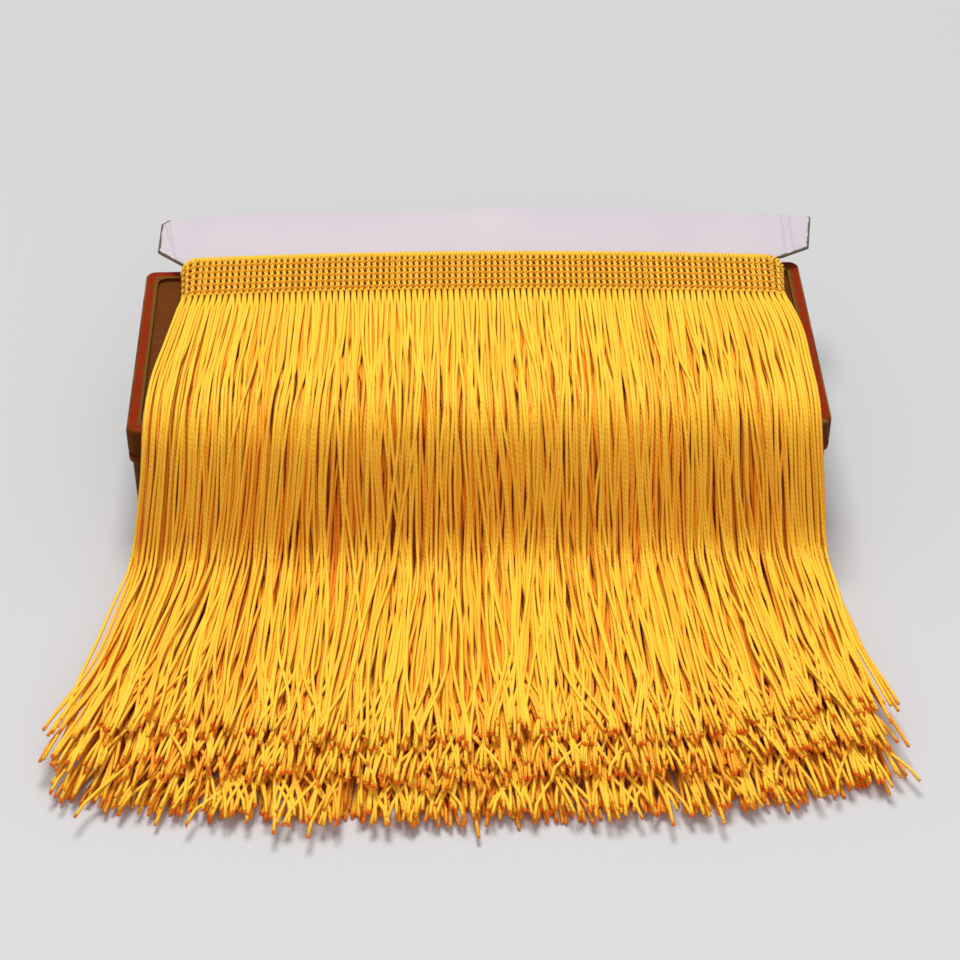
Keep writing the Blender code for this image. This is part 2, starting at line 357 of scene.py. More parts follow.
# How much each of these deepens the colour: painted shade in the groove between two plies, a fibre's own
# tone, and painted shade on sides facing away from above
GROOVE_SHADE = 0.10
FIBRE_DEPTH = 0.10
SHADE_DEPTH = 0.55
FACING_UP = 0.85
FACING_AWAY = -0.1
# How far from the tip the painted orange shade of a cut end starts, and where it is full, in mm
END_STARTS = 1.3
END_FULL = 0.5
SHEEN_TINT = (1.0, 0.45, 0.07, 1)


def yarn_material(name, bright, deep, cut, roughness, lay_mm, ridge):
    """Twisted golden yarn: a bright colour, a deep one for painted shade and random tone, and one for painted
    shade at its cut ends.
    """
    material, tree, shader = new_material(name)
    uv = tree.nodes.new("ShaderNodeUVMap")
    uv.uv_map = "yarn"
    parts = axes_of(tree, uv.outputs["UV"])
    turn = times(tree, parts["X"], 2 * math.pi * PLIES)
    climb = times(tree, parts["Y"], 2 * math.pi * PLIES / lay_mm)
    wave = math_node(tree, "SINE", plus(tree, turn, climb))
    ply = plus(tree, times(tree, wave, 0.5), 0.5)
    fibres = noise_value(tree, stretched(tree, uv.outputs["UV"], (14.0, 0.5, 1.0)), 1.0, 2.0)
    facing = axes_of(tree, tree.nodes.new("ShaderNodeNewGeometry").outputs["Normal"])
    # Painted shade: faces that turn away from above are mixed towards the deep colour
    shaded = smooth_step(tree, facing["Z"], FACING_UP, FACING_AWAY)
    # Painted shade in the groove between the plies
    depth = times(tree, minus(tree, 1.0, ply), GROOVE_SHADE)
    depth = plus(tree, depth, attribute_value(tree, "tone_and_shade"))
    depth = plus(tree, depth, times(tree, shaded, SHADE_DEPTH))
    depth = plus(tree, depth, times(tree, fibres, FIBRE_DEPTH), clamp=True)
    colour = mix_colours(tree, depth, (*bright, 1), (*deep, 1))
    # Painted shade at the cut ends: the last millimetre turns orange, in patches
    end = smooth_step(tree, attribute_value(tree, "from_tip"), END_STARTS, END_FULL)
    end_shade_patches = smooth_step(tree, noise_value(tree, object_place(tree), 260.0, 1.0), 0.40, 0.58)
    colour = mix_colours(tree, times(tree, end, end_shade_patches), colour, (*cut, 1))
    paint(tree, shader, colour, roughness)
    shader.inputs["Specular IOR Level"].default_value = 0.18
    shader.inputs["Sheen Weight"].default_value = 0.35
    shader.inputs["Sheen Roughness"].default_value = 0.5
    shader.inputs["Sheen Tint"].default_value = SHEEN_TINT
    height = plus(tree, ply, times(tree, fibres, 0.5))
    add_bump(tree, shader, height, ridge)
    return material


cord_finish = yarn_material(
    "golden_cord",
    bright=(0.99, 0.66, 0.045),
    deep=(0.91, 0.235, 0.004),
    cut=(0.95, 0.16, 0.003),
    roughness=0.5,
    lay_mm=3.4,
    ridge=0.06 * MM,
)
chain_finish = yarn_material(
    "golden_chain",
    bright=(0.85, 0.385, 0.012),
    deep=(0.62, 0.20, 0.004),
    cut=(0.50, 0.15, 0.008),
    roughness=0.6,
    lay_mm=2.2,
    ridge=0.08 * MM,
)
pillar_finish = yarn_material(
    "golden_pillar",
    bright=(0.98, 0.66, 0.065),
    deep=(0.90, 0.41, 0.014),
    cut=(0.50, 0.15, 0.008),
    roughness=0.5,
    lay_mm=2.2,
    ridge=0.08 * MM,
)
print("yarn finishes:", cord_finish.name, chain_finish.name, pillar_finish.name)

# %% [markdown]
# ## From paths to yarn
#
# Each of the fifteen hundred cords could be an object, but they are far lighter as a few curve objects with
# a spline for each cord and a round bevel. Once such a curve is a mesh, its vertices come in rings, in the
# order of the path's points, so the UV map and the attributes can be filled from the paths in one go. The
# open ends are closed with a face each.

# %% Yarn maker
RING_SIDES = {0: 4, 1: 6}
FACE_CORNERS = 4
# What a closed yarn has for its distance from the tip, in mm, as it has none
FAR_FROM_TIP = 99.0


def yarns_to_mesh(name, paths, radius, resolution, finish, cyclic=False, tones_and_shades=None, taper=None):
    """One mesh of round yarns: paths is an array of (yarn, point, xyz) in metres."""
    count, points, _ = paths.shape
    sides = RING_SIDES[resolution]
    curve = bpy.data.curves.new(name, "CURVE")
    curve.dimensions = "3D"
    curve.bevel_depth = radius
    curve.bevel_resolution = resolution
    curve.use_fill_caps = False
    for path in paths:
        spline = curve.splines.new("POLY")
        spline.points.add(points - 1)
        spline.points.foreach_set("co", np.hstack([path, np.ones((points, 1))]).ravel())
        if taper is not None:
            spline.points.foreach_set("radius", taper)
        spline.use_cyclic_u = cyclic
    shape = add_to_scene(name + "_curve", curve)
    bpy.context.view_layer.update()
    evaluated = shape.evaluated_get(bpy.context.evaluated_depsgraph_get())
    data = bpy.data.meshes.new_from_object(evaluated)
    bpy.data.objects.remove(shape)
    bpy.data.curves.remove(curve)
    assert len(data.vertices) == count * points * sides, "each path point makes one ring"
    add_yarn_data(data, paths, sides, cyclic, tones_and_shades)
    if not cyclic:
        close_ends(data)
    data.name = name
    data.materials.clear()
    data.materials.append(finish)
    data.shade_smooth()
    return add_to_scene(name, data)


def add_yarn_data(data, paths, sides, cyclic, tones_and_shades):
    """Fills the UV map (turns round, millimetres along), the tone_and_shade attribute (a random tone, with
    painted shade on some pieces) and the from_tip attribute.
    """
    count, points, _ = paths.shape
    steps = np.linalg.norm(np.diff(paths, axis=1), axis=2) / MM
    along = np.hstack([np.zeros((count, 1)), np.cumsum(steps, axis=1)])
    corners = np.empty(len(data.loops), np.int64)
    data.loops.foreach_get("vertex_index", corners)
    ring = (corners % sides).reshape(-1, FACE_CORNERS)
    wraps = (ring == 0) & (ring == sides - 1).any(axis=1, keepdims=True)
    ring = np.where(wraps, sides, ring).ravel()
    station = corners // sides
    uv = np.stack([ring / sides, along.ravel()[station]], axis=1)
    if cyclic:
        first = ((station % points) == 0).reshape(-1, FACE_CORNERS)
        last = ((station % points) == points - 1).reshape(-1, FACE_CORNERS).any(axis=1, keepdims=True)
        closing = (first & last).ravel()
        uv[closing, 1] = along[station[closing] // points, -1] + 1.0
    layer = data.uv_layers.new(name="yarn")
    layer.data.foreach_set("uv", uv.astype(np.float32).ravel())
    tone_and_shade = np.zeros(count) if tones_and_shades is None else tones_and_shades
    tone_and_shade = np.broadcast_to(tone_and_shade.reshape(count, -1), (count, points))
    from_tip = np.full(count * points, FAR_FROM_TIP) if cyclic else (along[:, -1:] - along).ravel()
    values = {"tone_and_shade": np.repeat(tone_and_shade.ravel(), sides), "from_tip": np.repeat(from_tip, sides)}
    for key, value in values.items():
        attribute = data.attributes.new(key, "FLOAT", "POINT")
        attribute.data.foreach_set("value", value.astype(np.float32))


def close_ends(data):
    """Puts a face on each open end of the yarns."""
    mesh = bmesh.new()
    mesh.from_mesh(data)
    open_edges = [e for e in mesh.edges if e.is_boundary]
    bmesh.ops.holes_fill(mesh, edges=open_edges, sides=0)
    mesh.to_mesh(data)
    mesh.free()


print("a bevel resolution of 1 makes rings of", RING_SIDES[1], "sides")

# %% [markdown]
# ## The bed that the cords lie on
#
# The lowest cords leave the heading, cross the shallow recess in the block's top, clear its rim by 2 mm,
# fall and run out along the table. That line is worked out once as a smooth curve with its outward
# direction. A cord higher in the heap follows the same line, moved outwards by its height in the heap. At
# the foot of the fall it cuts the corner a little more, because the cords below fill that corner.

# %% The bed curve
H = BLOCK_HEIGHT / MM
BED_MM = np.array([
    (57.0, H - 0.5),
    (45.0, H + 0.5),
    (32.0, H + 1.2),
    (18.0, H + 2.2),
    (8.0, H + 2.6),
    (-1.2, H + 2.1),
    (-5.5, H - 3.5),
    (-12.5, 23.0),
    (-19.5, 9.5),
    (-26.0, 2.6),
    (-36.0, 0.0),
    (-60.0, 0.0),
    (-100.0, 0.0),
    (-145.0, 0.0),
])


def smooth_line(knots, steps_each=24, passes=60):
    """A dense line through the knots, relaxed so that its bends are round."""
    ends = np.vstack([2 * knots[0] - knots[1], knots, 2 * knots[-1] - knots[-2]])
    dense = []
    for a, b, c, d in zip(ends, ends[1:], ends[2:], ends[3:]):
        for t in np.linspace(0, 1, steps_each, endpoint=False):
            square, cube = 2 * a - 5 * b + 4 * c - d, 3 * b - 3 * c + d - a
            dense.append(0.5 * (2 * b + (c - a) * t + square * t**2 + cube * t**3))
    dense = np.array(dense + [knots[-1]])
    for _ in range(passes):
        dense[1:-1] = (dense[:-2] + 2 * dense[1:-1] + dense[2:]) / 4
    dense[:, 1] = np.maximum(dense[:, 1], 0)
    return dense


bed_line = smooth_line(BED_MM) * MM
# The foot of the fall is below this height. It is smoothed this often for each mm of height in the heap.
FOOT_TOP = 24 * MM
FOOT_PASSES = 14


def heap_line(height):
    """The bed's line for cords at a height in the heap, as (line, run along it)."""
    along = np.gradient(bed_line, axis=0)
    out = np.stack([along[:, 1], -along[:, 0]], axis=1)
    out /= np.linalg.norm(out, axis=1, keepdims=True)
    line = bed_line + out * height
    line = line[np.concatenate([[True], np.diff(line[:, 0]) < 0])]
    foot = (line[:, 1] < FOOT_TOP + height)[1:-1, None]
    for _ in range(int(height / MM * FOOT_PASSES)):
        line[1:-1] = np.where(foot, (line[:-2] + 2 * line[1:-1] + line[2:]) / 4, line[1:-1])
    run = np.hstack([0, np.cumsum(np.linalg.norm(np.diff(line, axis=0), axis=1))])
    return line, run


bed_length = heap_line(0)[1][-1]
print("the bed is", round(bed_length * 1000), "mm long; its line has", len(bed_line), "points")

# %% [markdown]
# ## The fringe
#
# No two cords of a real fringe lie alike. Neighbours drift the same way, then gather in small bundles that
# leave dark gaps, and a few cross over the rest or curl at their cut ends. So each layer is worked out as
# arrays, one row for each cord and one column for each point along it, and those habits are added one by
# one: the spread of the whole, a slow shared drift, the pull towards a bundle, a wander of its own and a
# curl at the tip. The heights come from the layer, plus a little loft.

# %% Layers of cord
CORD_RADIUS = 0.54 * MM
# How far the outermost cords leave the heading's width: soon after their roots, and at their tips
SHOULDER_LEFT = 4.6 * MM
SHOULDER_RIGHT = 2.0 * MM
FLARE_LEFT = 0.25
FLARE_RIGHT = 0.135
# How much shorter the outermost cords reach than the middle ones
REACH_DROP = 10 * MM
# The roots start a little inside the heading's front edge and its two ends
ROOT_Y = PACK_MIDDLE.y - HEADING_HEIGHT / 2
ROOT_INSIDE = 0.4 * MM
ROOT_WIDTH = HEADING_WIDTH - 1.2 * MM
COLUMNS = 101
COLUMN_PITCH = HEADING_WIDTH / COLUMNS

# One row a layer, the lowest first: how many cords, their height in the heap, the height of their roots in
# the stack, their reach past the block, how ragged their tips are, how much they wander and curl, how much
# painted shade they get where upper layers cover them, how much of that painted shade their ends lose where
# they come out into the light, and the seed of their random draws. Lengths are in mm.
LAYER_KEYS = ("tier", "cords", "heap", "root", "reach", "ragged", "wander", "curl", "deep", "show", "seed")
LAYER_ROWS = (
    ("under", 236, 0.7, 0.4, 126.5, 2.4, 1.6, 10, 1.00, 0.60, 10),
    ("lower", 236, 2.6, 0.9, 128.5, 2.8, 1.9, 13, 0.80, 0.40, 11),
    ("lower", 236, 4.5, 2.0, 130.0, 3.3, 2.1, 16, 0.60, 0.85, 12),
    ("middle", 216, 6.4, 3.6, 118.5, 3.2, 1.9, 12, 0.70, 0.45, 21),
    ("middle", 216, 7.7, 4.9, 117.0, 3.8, 2.1, 14, 0.55, 0.90, 22),
    ("upper", 202, 8.9, 7.2, 107.0, 3.2, 1.6, 7, 0.30, 0.50, 31),
    ("upper", 202, 9.8, 8.1, 105.5, 4.2, 1.5, 7, 0.06, 0.00, 32),
)
LAYERS = [dict(zip(LAYER_KEYS, row)) for row in LAYER_ROWS]
STATIONS = 33


def ease(value, low, high):
    """0 below low, 1 above high, with a soft step between them, for arrays."""
    t = np.clip((value - low) / (high - low), 0, 1)
    return t * t * (3 - 2 * t)


def drift(across, travelled, rng):
    """A slow sideways drift that neighbours share, from about -1 to 1."""
    waves = 6
    total = np.zeros(np.broadcast(across, travelled).shape)
    for _ in range(waves):
        width, length = rng.uniform(1.5, 8.0), rng.uniform(0.3, 1.6)
        total += np.sin(2 * np.pi * (across * width / 2 + travelled * length + rng.uniform()))
    return total / waves**0.5


def gather(side, travelled, rng, smallest, largest, strength):
    """Pulls neighbouring cords together in small bundles that tighten and loosen along their length."""
    start = 0
    while start < len(side):
        size = int(rng.integers(smallest, largest + 1))
        bundle = slice(start, start + size)
        middle = side[bundle].mean(axis=0, keepdims=True)
        rhythm = np.sin(math.pi * (travelled[bundle] * rng.uniform(0.8, 2.6) + rng.uniform())) ** 2
        pull = strength * rng.uniform(0.2, 1.0) * rhythm * ease(travelled[bundle], 0.08, 0.3)
        side[bundle] += (middle - side[bundle]) * pull
        start += size
    return side


def own_wander(count, travelled, rng):
    """Each cord's own sideways wander, from about -1 to 1, growing from its root."""
    total = np.zeros_like(travelled)
    for cycles in (0.5, 1.1, 2.0, 3.4, 5.1):
        swing = rng.normal(0, 1, (count, 1)) / cycles
        total += swing * np.sin(2 * np.pi * (cycles * travelled + rng.uniform(0, 1, (count, 1))))
    return total * 0.6 * ease(travelled, 0, 0.32)


print("the heap has", len(LAYERS), "layers and", sum(layer["cords"] for layer in LAYERS), "cords")

# %% Where a cord goes
DRIFT = 1.5 * MM
# The smallest and the largest bundle, and how strongly its cords gather
BUNDLES = ((5, 14, 0.24), (2, 5, 0.50))
STRAY_SHARE = 0.10
STRAY_SPREAD = 6.0
CURL_LENGTH = 36 * MM
PAIR_APART = 0.22 * MM


def tips_of(layer, across, rng):
    """The y of each cord's tip: a ragged line that draws back towards the two ends."""
    count = layer["cords"]
    ragged = rng.uniform(-1, 1, count) * np.where(rng.uniform(size=count) < 0.9, 0.8, 2.0)
    ragged += 0.7 * np.sin(across * rng.uniform(7, 11) + rng.uniform(0, 6))
    return -(layer["reach"] * MM - REACH_DROP * across**2 + ragged * layer["ragged"] * MM)


def sideways(layer, roots, run, travelled, to_tip, rng):
    """Each cord's place along the heading, point by point, and how far it strays from its neighbours."""
    count = layer["cords"]
    across = roots / (HEADING_WIDTH / 2)
    column = across[:, None]
    flare = np.where(column < 0, FLARE_LEFT * travelled**2.4, FLARE_RIGHT * travelled**3.6)
    side = roots[:, None] * (1 + flare * (0.70 + 0.03 * layer["heap"]))
    inner = 1 - 0.85 * np.abs(column) ** 6 * (1 - 0.6 * ease(travelled, 0.5, 0.9))
    shoulder_left = -SHOULDER_LEFT * ease(travelled, 0, 0.3)
    shoulder_right = SHOULDER_RIGHT * ease(travelled, 0, 0.18)
    side += np.where(column < 0, shoulder_left, shoulder_right) * column**4
    side += DRIFT * drift(column, travelled, rng) * ease(travelled, 0.04, 0.6) * inner
    for bundle in BUNDLES:
        side = gather(side, travelled, rng, *bundle)
    side += layer["wander"] * MM * own_wander(count, travelled, rng) * inner
    strays = np.where(rng.uniform(size=count) < STRAY_SHARE, rng.normal(0, STRAY_SPREAD, count), 0.0)
    strays = strays[:, None] * MM * inner
    side += strays * ease(travelled, 0.2, 0.95)
    curl = rng.normal(0, 0.55, count) * layer["curl"] * MM * (1 - 0.6 * np.abs(across) ** 8)
    curl += np.where(across < -0.92, -np.abs(rng.normal(0, 3, count)) * MM, 0)
    side += curl[:, None] * (1 - ease(to_tip, 0, CURL_LENGTH)) ** 1.6
    in_column = (np.round(roots / COLUMN_PITCH - 0.5) + 0.5) * COLUMN_PITCH
    to_column = in_column + np.sign(roots - in_column) * PAIR_APART - roots
    side += to_column[:, None] * (1 - ease(run, 1.5 * MM, 9 * MM))
    return side, strays


def loft(layer, strays, travelled, to_tip, rng):
    """How far each cord rises above its layer's line, point by point."""
    count, heap = layer["cords"], layer["heap"]
    lift = np.abs(rng.normal(0, 0.6, (count, 1))) * MM * np.sin(np.pi * travelled) ** 2
    lift = lift + np.abs(strays) * 0.12 * ease(travelled, 0.2, 0.6)
    lift = lift + 0.35 * MM * np.abs(own_wander(count, travelled, rng))
    lift = lift + 0.16 * heap * MM * ease(travelled, 0.55, 0.8)
    return lift - min(0.6, heap / 4) * MM * (1 - ease(to_tip, 0, 24 * MM))


def layer_paths(layer):
    """The paths of one layer of cords, as an array of (cord, point, xyz), and for each point a random tone
    with painted shade where upper layers cover it.
    """
    rng = np.random.default_rng(layer["seed"])
    count = layer["cords"]
    roots = (np.arange(count) + 0.5) / count * ROOT_WIDTH - ROOT_WIDTH / 2
    line, line_run = heap_line(layer["heap"] * MM)
    tip_y = tips_of(layer, roots / (HEADING_WIDTH / 2), rng)
    whole = np.interp(-tip_y, -line[:, 0], line_run)[:, None]
    share = np.linspace(0, 1, STATIONS)
    run = whole * (share - 0.035 * np.sin(2 * np.pi * share))[None, :]
    travelled = run / whole
    to_tip = whole - run
    side, strays = sideways(layer, roots, run, travelled, to_tip, rng)
    y = FRONT.y + np.interp(run, line_run, line[:, 0])
    z = np.interp(run, line_run, line[:, 1]) + loft(layer, strays, travelled, to_tip, rng)
    root_z = winding_low.z + layer["root"] * MM * (1 + CROWN * crown_at(roots) / STACK_FRONT)
    root_y = ROOT_Y + ROOT_INSIDE + math.tan(PACK_ANGLE) * roots
    y += (root_y[:, None] - y[:, :1]) * (1 - ease(run, 0, 40 * MM))
    z += (root_z[:, None] - z[:, :1]) * (1 - ease(run, 0, 24 * MM))
    z = np.maximum(z, CORD_RADIUS * 1.02)
    # Painted shade: cords under upper layers are deepened by their layer's share, less near the tips that
    # come out into the light, and a random tone is added to each cord
    shade_where_covered = 1 - layer["show"] * (1 - ease(to_tip, 9 * MM, 24 * MM))
    tones_and_shades = np.clip(layer["deep"] * shade_where_covered + rng.normal(0, 0.14, (count, 1)), 0, 1)
    return np.stack([PACK_MIDDLE.x + side, y, z], axis=2), tones_and_shades


print("a cord has", STATIONS, "points along it")

# %% The tiers
def make_fringe(tier):
    """All the cords of one tier as one mesh, standing for that tier's solid."""
    made = [layer_paths(layer) for layer in LAYERS if layer["tier"] == tier]
    paths = np.concatenate([paths for paths, _ in made])
    tones_and_shades = np.concatenate([tones_and_shades for _, tones_and_shades in made])
    cords = yarns_to_mesh("cords_" + tier, paths, CORD_RADIUS, 1, cord_finish, tones_and_shades=tones_and_shades)
    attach(cords, "root")
    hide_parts("fringe_" + tier)
    return cords, paths


def make_under_layer():
    """The lowest cords, which lie on the table itself under the rest."""
    paths, tones_and_shades = layer_paths(LAYERS[0])
    cords = yarns_to_mesh("cords_on_table", paths, CORD_RADIUS, 1, cord_finish, tones_and_shades=tones_and_shades)
    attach(cords, "root")
    return cords, paths


fringe = {tier: make_fringe(tier) for tier in ("lower", "middle", "upper")}
fringe["under"] = make_under_layer()
for tier, (cords, paths) in fringe.items():
    length = np.linalg.norm(np.diff(paths, axis=1), axis=2).sum(axis=1).mean() / MM
    print(tier, "tier:", len(paths), "cords,", len(cords.data.polygons), "faces, mean", round(length), "mm")

# %% [markdown]
# ## The cut tips
#
# Scissors leave each cord a little frayed: its plies open at the very end. Two short thin strands at every
# tip are enough to break up the neat round ends. They reuse the yarn maker, with a taper.

# %% Frayed tips
TIP_RADIUS = 0.29 * MM
TIP_START = 0.8 * MM
TIP_SPLAY = 0.30
TIP_TAPER = (1.0, 1.0, 0.85)
TIP_LOWEST = 0.42 * MM


def make_tips(every_path):
    """Two short strands that splay from the end of every cord."""
    rng = np.random.default_rng(77)
    ends = np.concatenate(every_path)
    tip = ends[:, -1]
    ahead = tip - ends[:, -2]
    ahead /= np.linalg.norm(ahead, axis=1, keepdims=True)
    strands = []
    for _ in range(2):
        way = ahead + rng.normal(0, TIP_SPLAY, tip.shape)
        length = rng.uniform(0.4, 0.9, (len(tip), 1)) * MM
        start = tip - ahead * TIP_START + rng.normal(0, 0.14 * MM, tip.shape)
        strands.append(np.stack([start, start + ahead * length * 0.7, start + way * length * 1.2], axis=1))
    paths = np.concatenate(strands)
    paths[:, :, 2] = np.maximum(paths[:, :, 2], TIP_LOWEST)
    # Painted shade: the frayed strands are deepened towards orange
    tones_and_shades = rng.uniform(0.4, 0.9, len(paths))
    made = yarns_to_mesh("cut_tips", paths, TIP_RADIUS, 0, cord_finish, tones_and_shades=tones_and_shades, taper=TIP_TAPER)
    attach(made, "root")
    return made


print("cut tips:", len(make_tips([paths for _, paths in fringe.values()]).data.polygons), "faces")

# %% [markdown]
# ## The heading
#
# The heading is a warp-knitted tape. Each pair of cords runs up through it as a pillar, and six chain rows
# lock the pillars side by side, which leaves a grid of small dark holes. The solid ring already has a rib
# for each row, so it stays as the turns beneath, and the yarns go on it: a two-strand chain on every rib,
# pillars across the ribs, and a thick looped selvedge at the far edge of every turn.

# %% Round the pack
CHAIN_ROWS = 6


def round_the_pack(run, v, rise):
    """Places on a loop round the pack: run is how far round, v which edge it is near, rise how far out."""
    half = stack_at(v) / 2
    radius = half + rise
    straight = 2 * BEND_CENTRE
    bend = math.pi * STACK_FRONT / 2
    loop = 2 * straight + 2 * bend
    run = run % loop
    on_top = run < straight
    right = (run >= straight) & (run < straight + bend)
    below = (run >= straight + bend) & (run < 2 * straight + bend)
    angle = np.where(right, (run - straight) / bend, (run - 2 * straight - bend) / bend) * math.pi
    out, up = radius * np.sin(angle), radius * np.cos(angle)
    u = np.select(
        [on_top, right, below],
        [run - BEND_CENTRE, BEND_CENTRE + out, BEND_CENTRE - (run - straight - bend)],
        -BEND_CENTRE - out,
    )
    w = np.select([on_top, right, below], [half + radius, half + up, half - radius], half - up)
    w = w + CROWN * crown_at(u) * np.clip(w / stack_at(v), 0, 1.2)
    turn = np.array(PACK_TURN)
    flat = np.stack([u, v - HEADING_HEIGHT / 2 + 0 * u], axis=-1) @ turn[:2, :2].T
    x, y = PACK_MIDDLE.x + flat[..., 0], PACK_MIDDLE.y + flat[..., 1]
    return np.stack([x, y, winding_low.z + w], axis=-1)


PACK_LOOP = 4 * BEND_CENTRE + math.pi * STACK_FRONT
STITCHES_ROUND = round(PACK_LOOP / COLUMN_PITCH)
print("one turn of the tape is", round(PACK_LOOP * 1000), "mm, or", STITCHES_ROUND, "stitches")

# %% Chain rows
POINTS_A_STITCH = 6
CHAIN_RADIUS = 0.47 * MM


def chain_strands(v, lift, spread, depth):
    """Two strands that twist round each other once a stitch, round the whole pack."""
    phase = np.arange(STITCHES_ROUND * POINTS_A_STITCH) / POINTS_A_STITCH * 2 * math.pi
    run = phase / (2 * math.pi) * PACK_LOOP / STITCHES_ROUND
    strands = []
    for start in (0, math.pi):
        sideways = spread * np.sin(phase + start)
        rise = lift + depth * np.cos(phase + start)
        strands.append(round_the_pack(run, v + sideways, rise))
    return strands


row_paths = []
for row in range(CHAIN_ROWS):
    row_place = (row + 0.5) / CHAIN_ROWS * HEADING_HEIGHT
    row_paths += chain_strands(row_place, lift=0.34 * MM, spread=0.44 * MM, depth=0.22 * MM)
row_tints = np.random.default_rng(5).uniform(0.3, 0.7, len(row_paths))
chain_rows = yarns_to_mesh(
    "heading_chain_rows", np.array(row_paths), CHAIN_RADIUS, 0, chain_finish, cyclic=True, tones_and_shades=row_tints
)
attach(chain_rows, "root")
print("chain rows:", len(chain_rows.data.polygons), "faces")

# %% Pillars
STEPS_A_ROW = 3
PILLAR_RADIUS = 0.36 * MM
PILLAR_FRONT = -0.5 * MM
PILLAR_BACK = HEADING_HEIGHT - 0.6 * MM
# How far each leg stands to its side, how much that varies, and how far the legs sway as they climb
LEG_APART = 0.27 * MM
LEG_LOOSE = 0.05 * MM
LEG_SWAY = 0.30 * MM


def make_pillars():
    """A two-legged pillar for each column, weaving between the chain rows, all round the pack."""
    rng = np.random.default_rng(6)
    steps = CHAIN_ROWS * STEPS_A_ROW + 1
    climb = np.linspace(PILLAR_FRONT, PILLAR_BACK, steps)
    stitch = np.arange(steps) * 2 * math.pi / STEPS_A_ROW
    sway = LEG_SWAY * np.sin(stitch + 1)
    paths = []
    for column in range(STITCHES_ROUND):
        for leg in (-1, 1):
            middle = (column + 0.5) * PACK_LOOP / STITCHES_ROUND
            run = middle + leg * LEG_APART + rng.normal(0, LEG_LOOSE)
            rise = (0.48 + 0.06 * leg) * MM + 0.14 * MM * np.cos(stitch)
            path = [round_the_pack(np.array(run + s), v, r) for s, v, r in zip(sway, climb, rise)]
            paths.append(np.array(path))
    tones_and_shades = rng.uniform(0.0, 0.35, len(paths))
    made = yarns_to_mesh("heading_pillars", np.array(paths), PILLAR_RADIUS, 0, pillar_finish, tones_and_shades=tones_and_shades)
    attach(made, "root")
    return made


print("pillars:", len(make_pillars().data.polygons), "faces")

# %% [markdown]
# ## The looped selvedge
#
# At the far edge of the tape the cords turn back, and a heavier chain holds the loops. From behind, the
# edges of all the turns show one above the other, so each turn gets its own selvedge rope. The outermost
# is the thickest, and it shows from the front as a bright rolled edge.

# %% Selvedge ropes
TURNS = 4
SELVEDGE_RADIUS = 0.56 * MM
# How thick the tape's turns are together, on one side of the card's slot
TURNS_THICKNESS = STACK_BACK / 2 - 0.85 * MM
# How far past the tape's edge a rope runs, how far out, and how wide and deep its twist is
OUTER_ROPE = {"past": -1.3 * MM, "lift": 0.25 * MM, "spread": 0.85 * MM, "depth": 0.50 * MM}
INNER_ROPE = {"past": 0.25 * MM, "lift": -0.35 * MM, "spread": 0.34 * MM, "depth": 0.34 * MM}


def make_selvedge():
    """One looped rope for each turn of the tape, along its far edge."""
    paths = []
    for turns_above in range(TURNS - 1, -1, -1):
        rope = OUTER_ROPE if turns_above == 0 else INNER_ROPE
        inward = -turns_above * TURNS_THICKNESS / TURNS
        edge = HEADING_HEIGHT + rope["past"]
        paths += chain_strands(edge, inward + rope["lift"], rope["spread"], rope["depth"])
    tones_and_shades = np.random.default_rng(9).uniform(0.0, 0.12, len(paths))
    made = yarns_to_mesh(
        "heading_selvedge", np.array(paths), SELVEDGE_RADIUS, 0, pillar_finish, cyclic=True, tones_and_shades=tones_and_shades
    )
    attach(made, "root")
    return made


print("selvedge:", len(make_selvedge().data.polygons), "faces")

# %% [markdown]
# ## The turns beneath
#
# What shows through the holes is the next turn of the tape, in shadow. The solid ring keeps its place and
# only gets a finish: a gold made deep and patchily dark as painted shade, with a fine knitted grain, which
# is smaller than any real stitch of it.

# %% Finish of the wound ring
def under_turn_material():
    """Deep gold yarn in shadow."""
    # Gold yarn, painted deep and patchily dark for the shade it lies in.
    material, tree, shader = new_material("wound_turns_painted_shade")
    place = object_place(tree)
    grain = noise_value(tree, stretched(tree, place, (1.0, 0.4, 1.0)), 900.0, 2.0)
    shade_patch = noise_value(tree, place, 120.0, 3.0)
    # Painted shade: the gold is deep all over, and darker still in patches
    colour = mix_colours(tree, grain, (0.40, 0.14, 0.005, 1), (0.60, 0.26, 0.012, 1))
    colour = mix_colours(tree, times(tree, shade_patch, 0.4), colour, (0.12, 0.03, 0.002, 1))
    paint(tree, shader, colour, 0.7)
    add_bump(tree, shader, grain, 0.2 * MM)
    return material


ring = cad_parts["heading_winding"]
ring.data.materials.clear()
ring.data.materials.append(under_turn_material())
print("the ring under the knitting has", len(ring.data.polygons), "faces")

# %% [markdown]
# ## The card
#
# The card is a 1 mm board with a pale coated face. Its wide flange shows behind the heading, arched by the
# pull of the winding and a little creased near its ends. It starts as one flat face with the outline that
# the cutter gave it, is divided both ways, made thick and then bent. The cut edges and the back show the
# brown board, so those faces take a second material.

# %% The card's outline
CARD_THICKNESS = 1.0 * MM
NECK_HALF_WIDTH = 93 * MM
NECK_FRONT = 0.8 * MM
SHOW_NECK = 3.5 * MM
FLANGE_LEFT = -109.3 * MM
FLANGE_RIGHT = 112.5 * MM
FLANGE_DEPTH = 28.2 * MM
FLANGE_CHAMFER = (9.0 * MM, 7.8 * MM)
FLANGE_CORNER = (2.5 * MM, 2.0 * MM)
# On the right the corner is cut smaller, the end slants in, and the chamfer ends further back
RIGHT_CORNER_SHARE = 1 / 3
FLANGE_SLANT = 2.4 * MM
RIGHT_CHAMFER_BACK = 2.6 * MM
FLANGE_ARCH = 2.4 * MM
ARCH_SPAN = 110 * MM
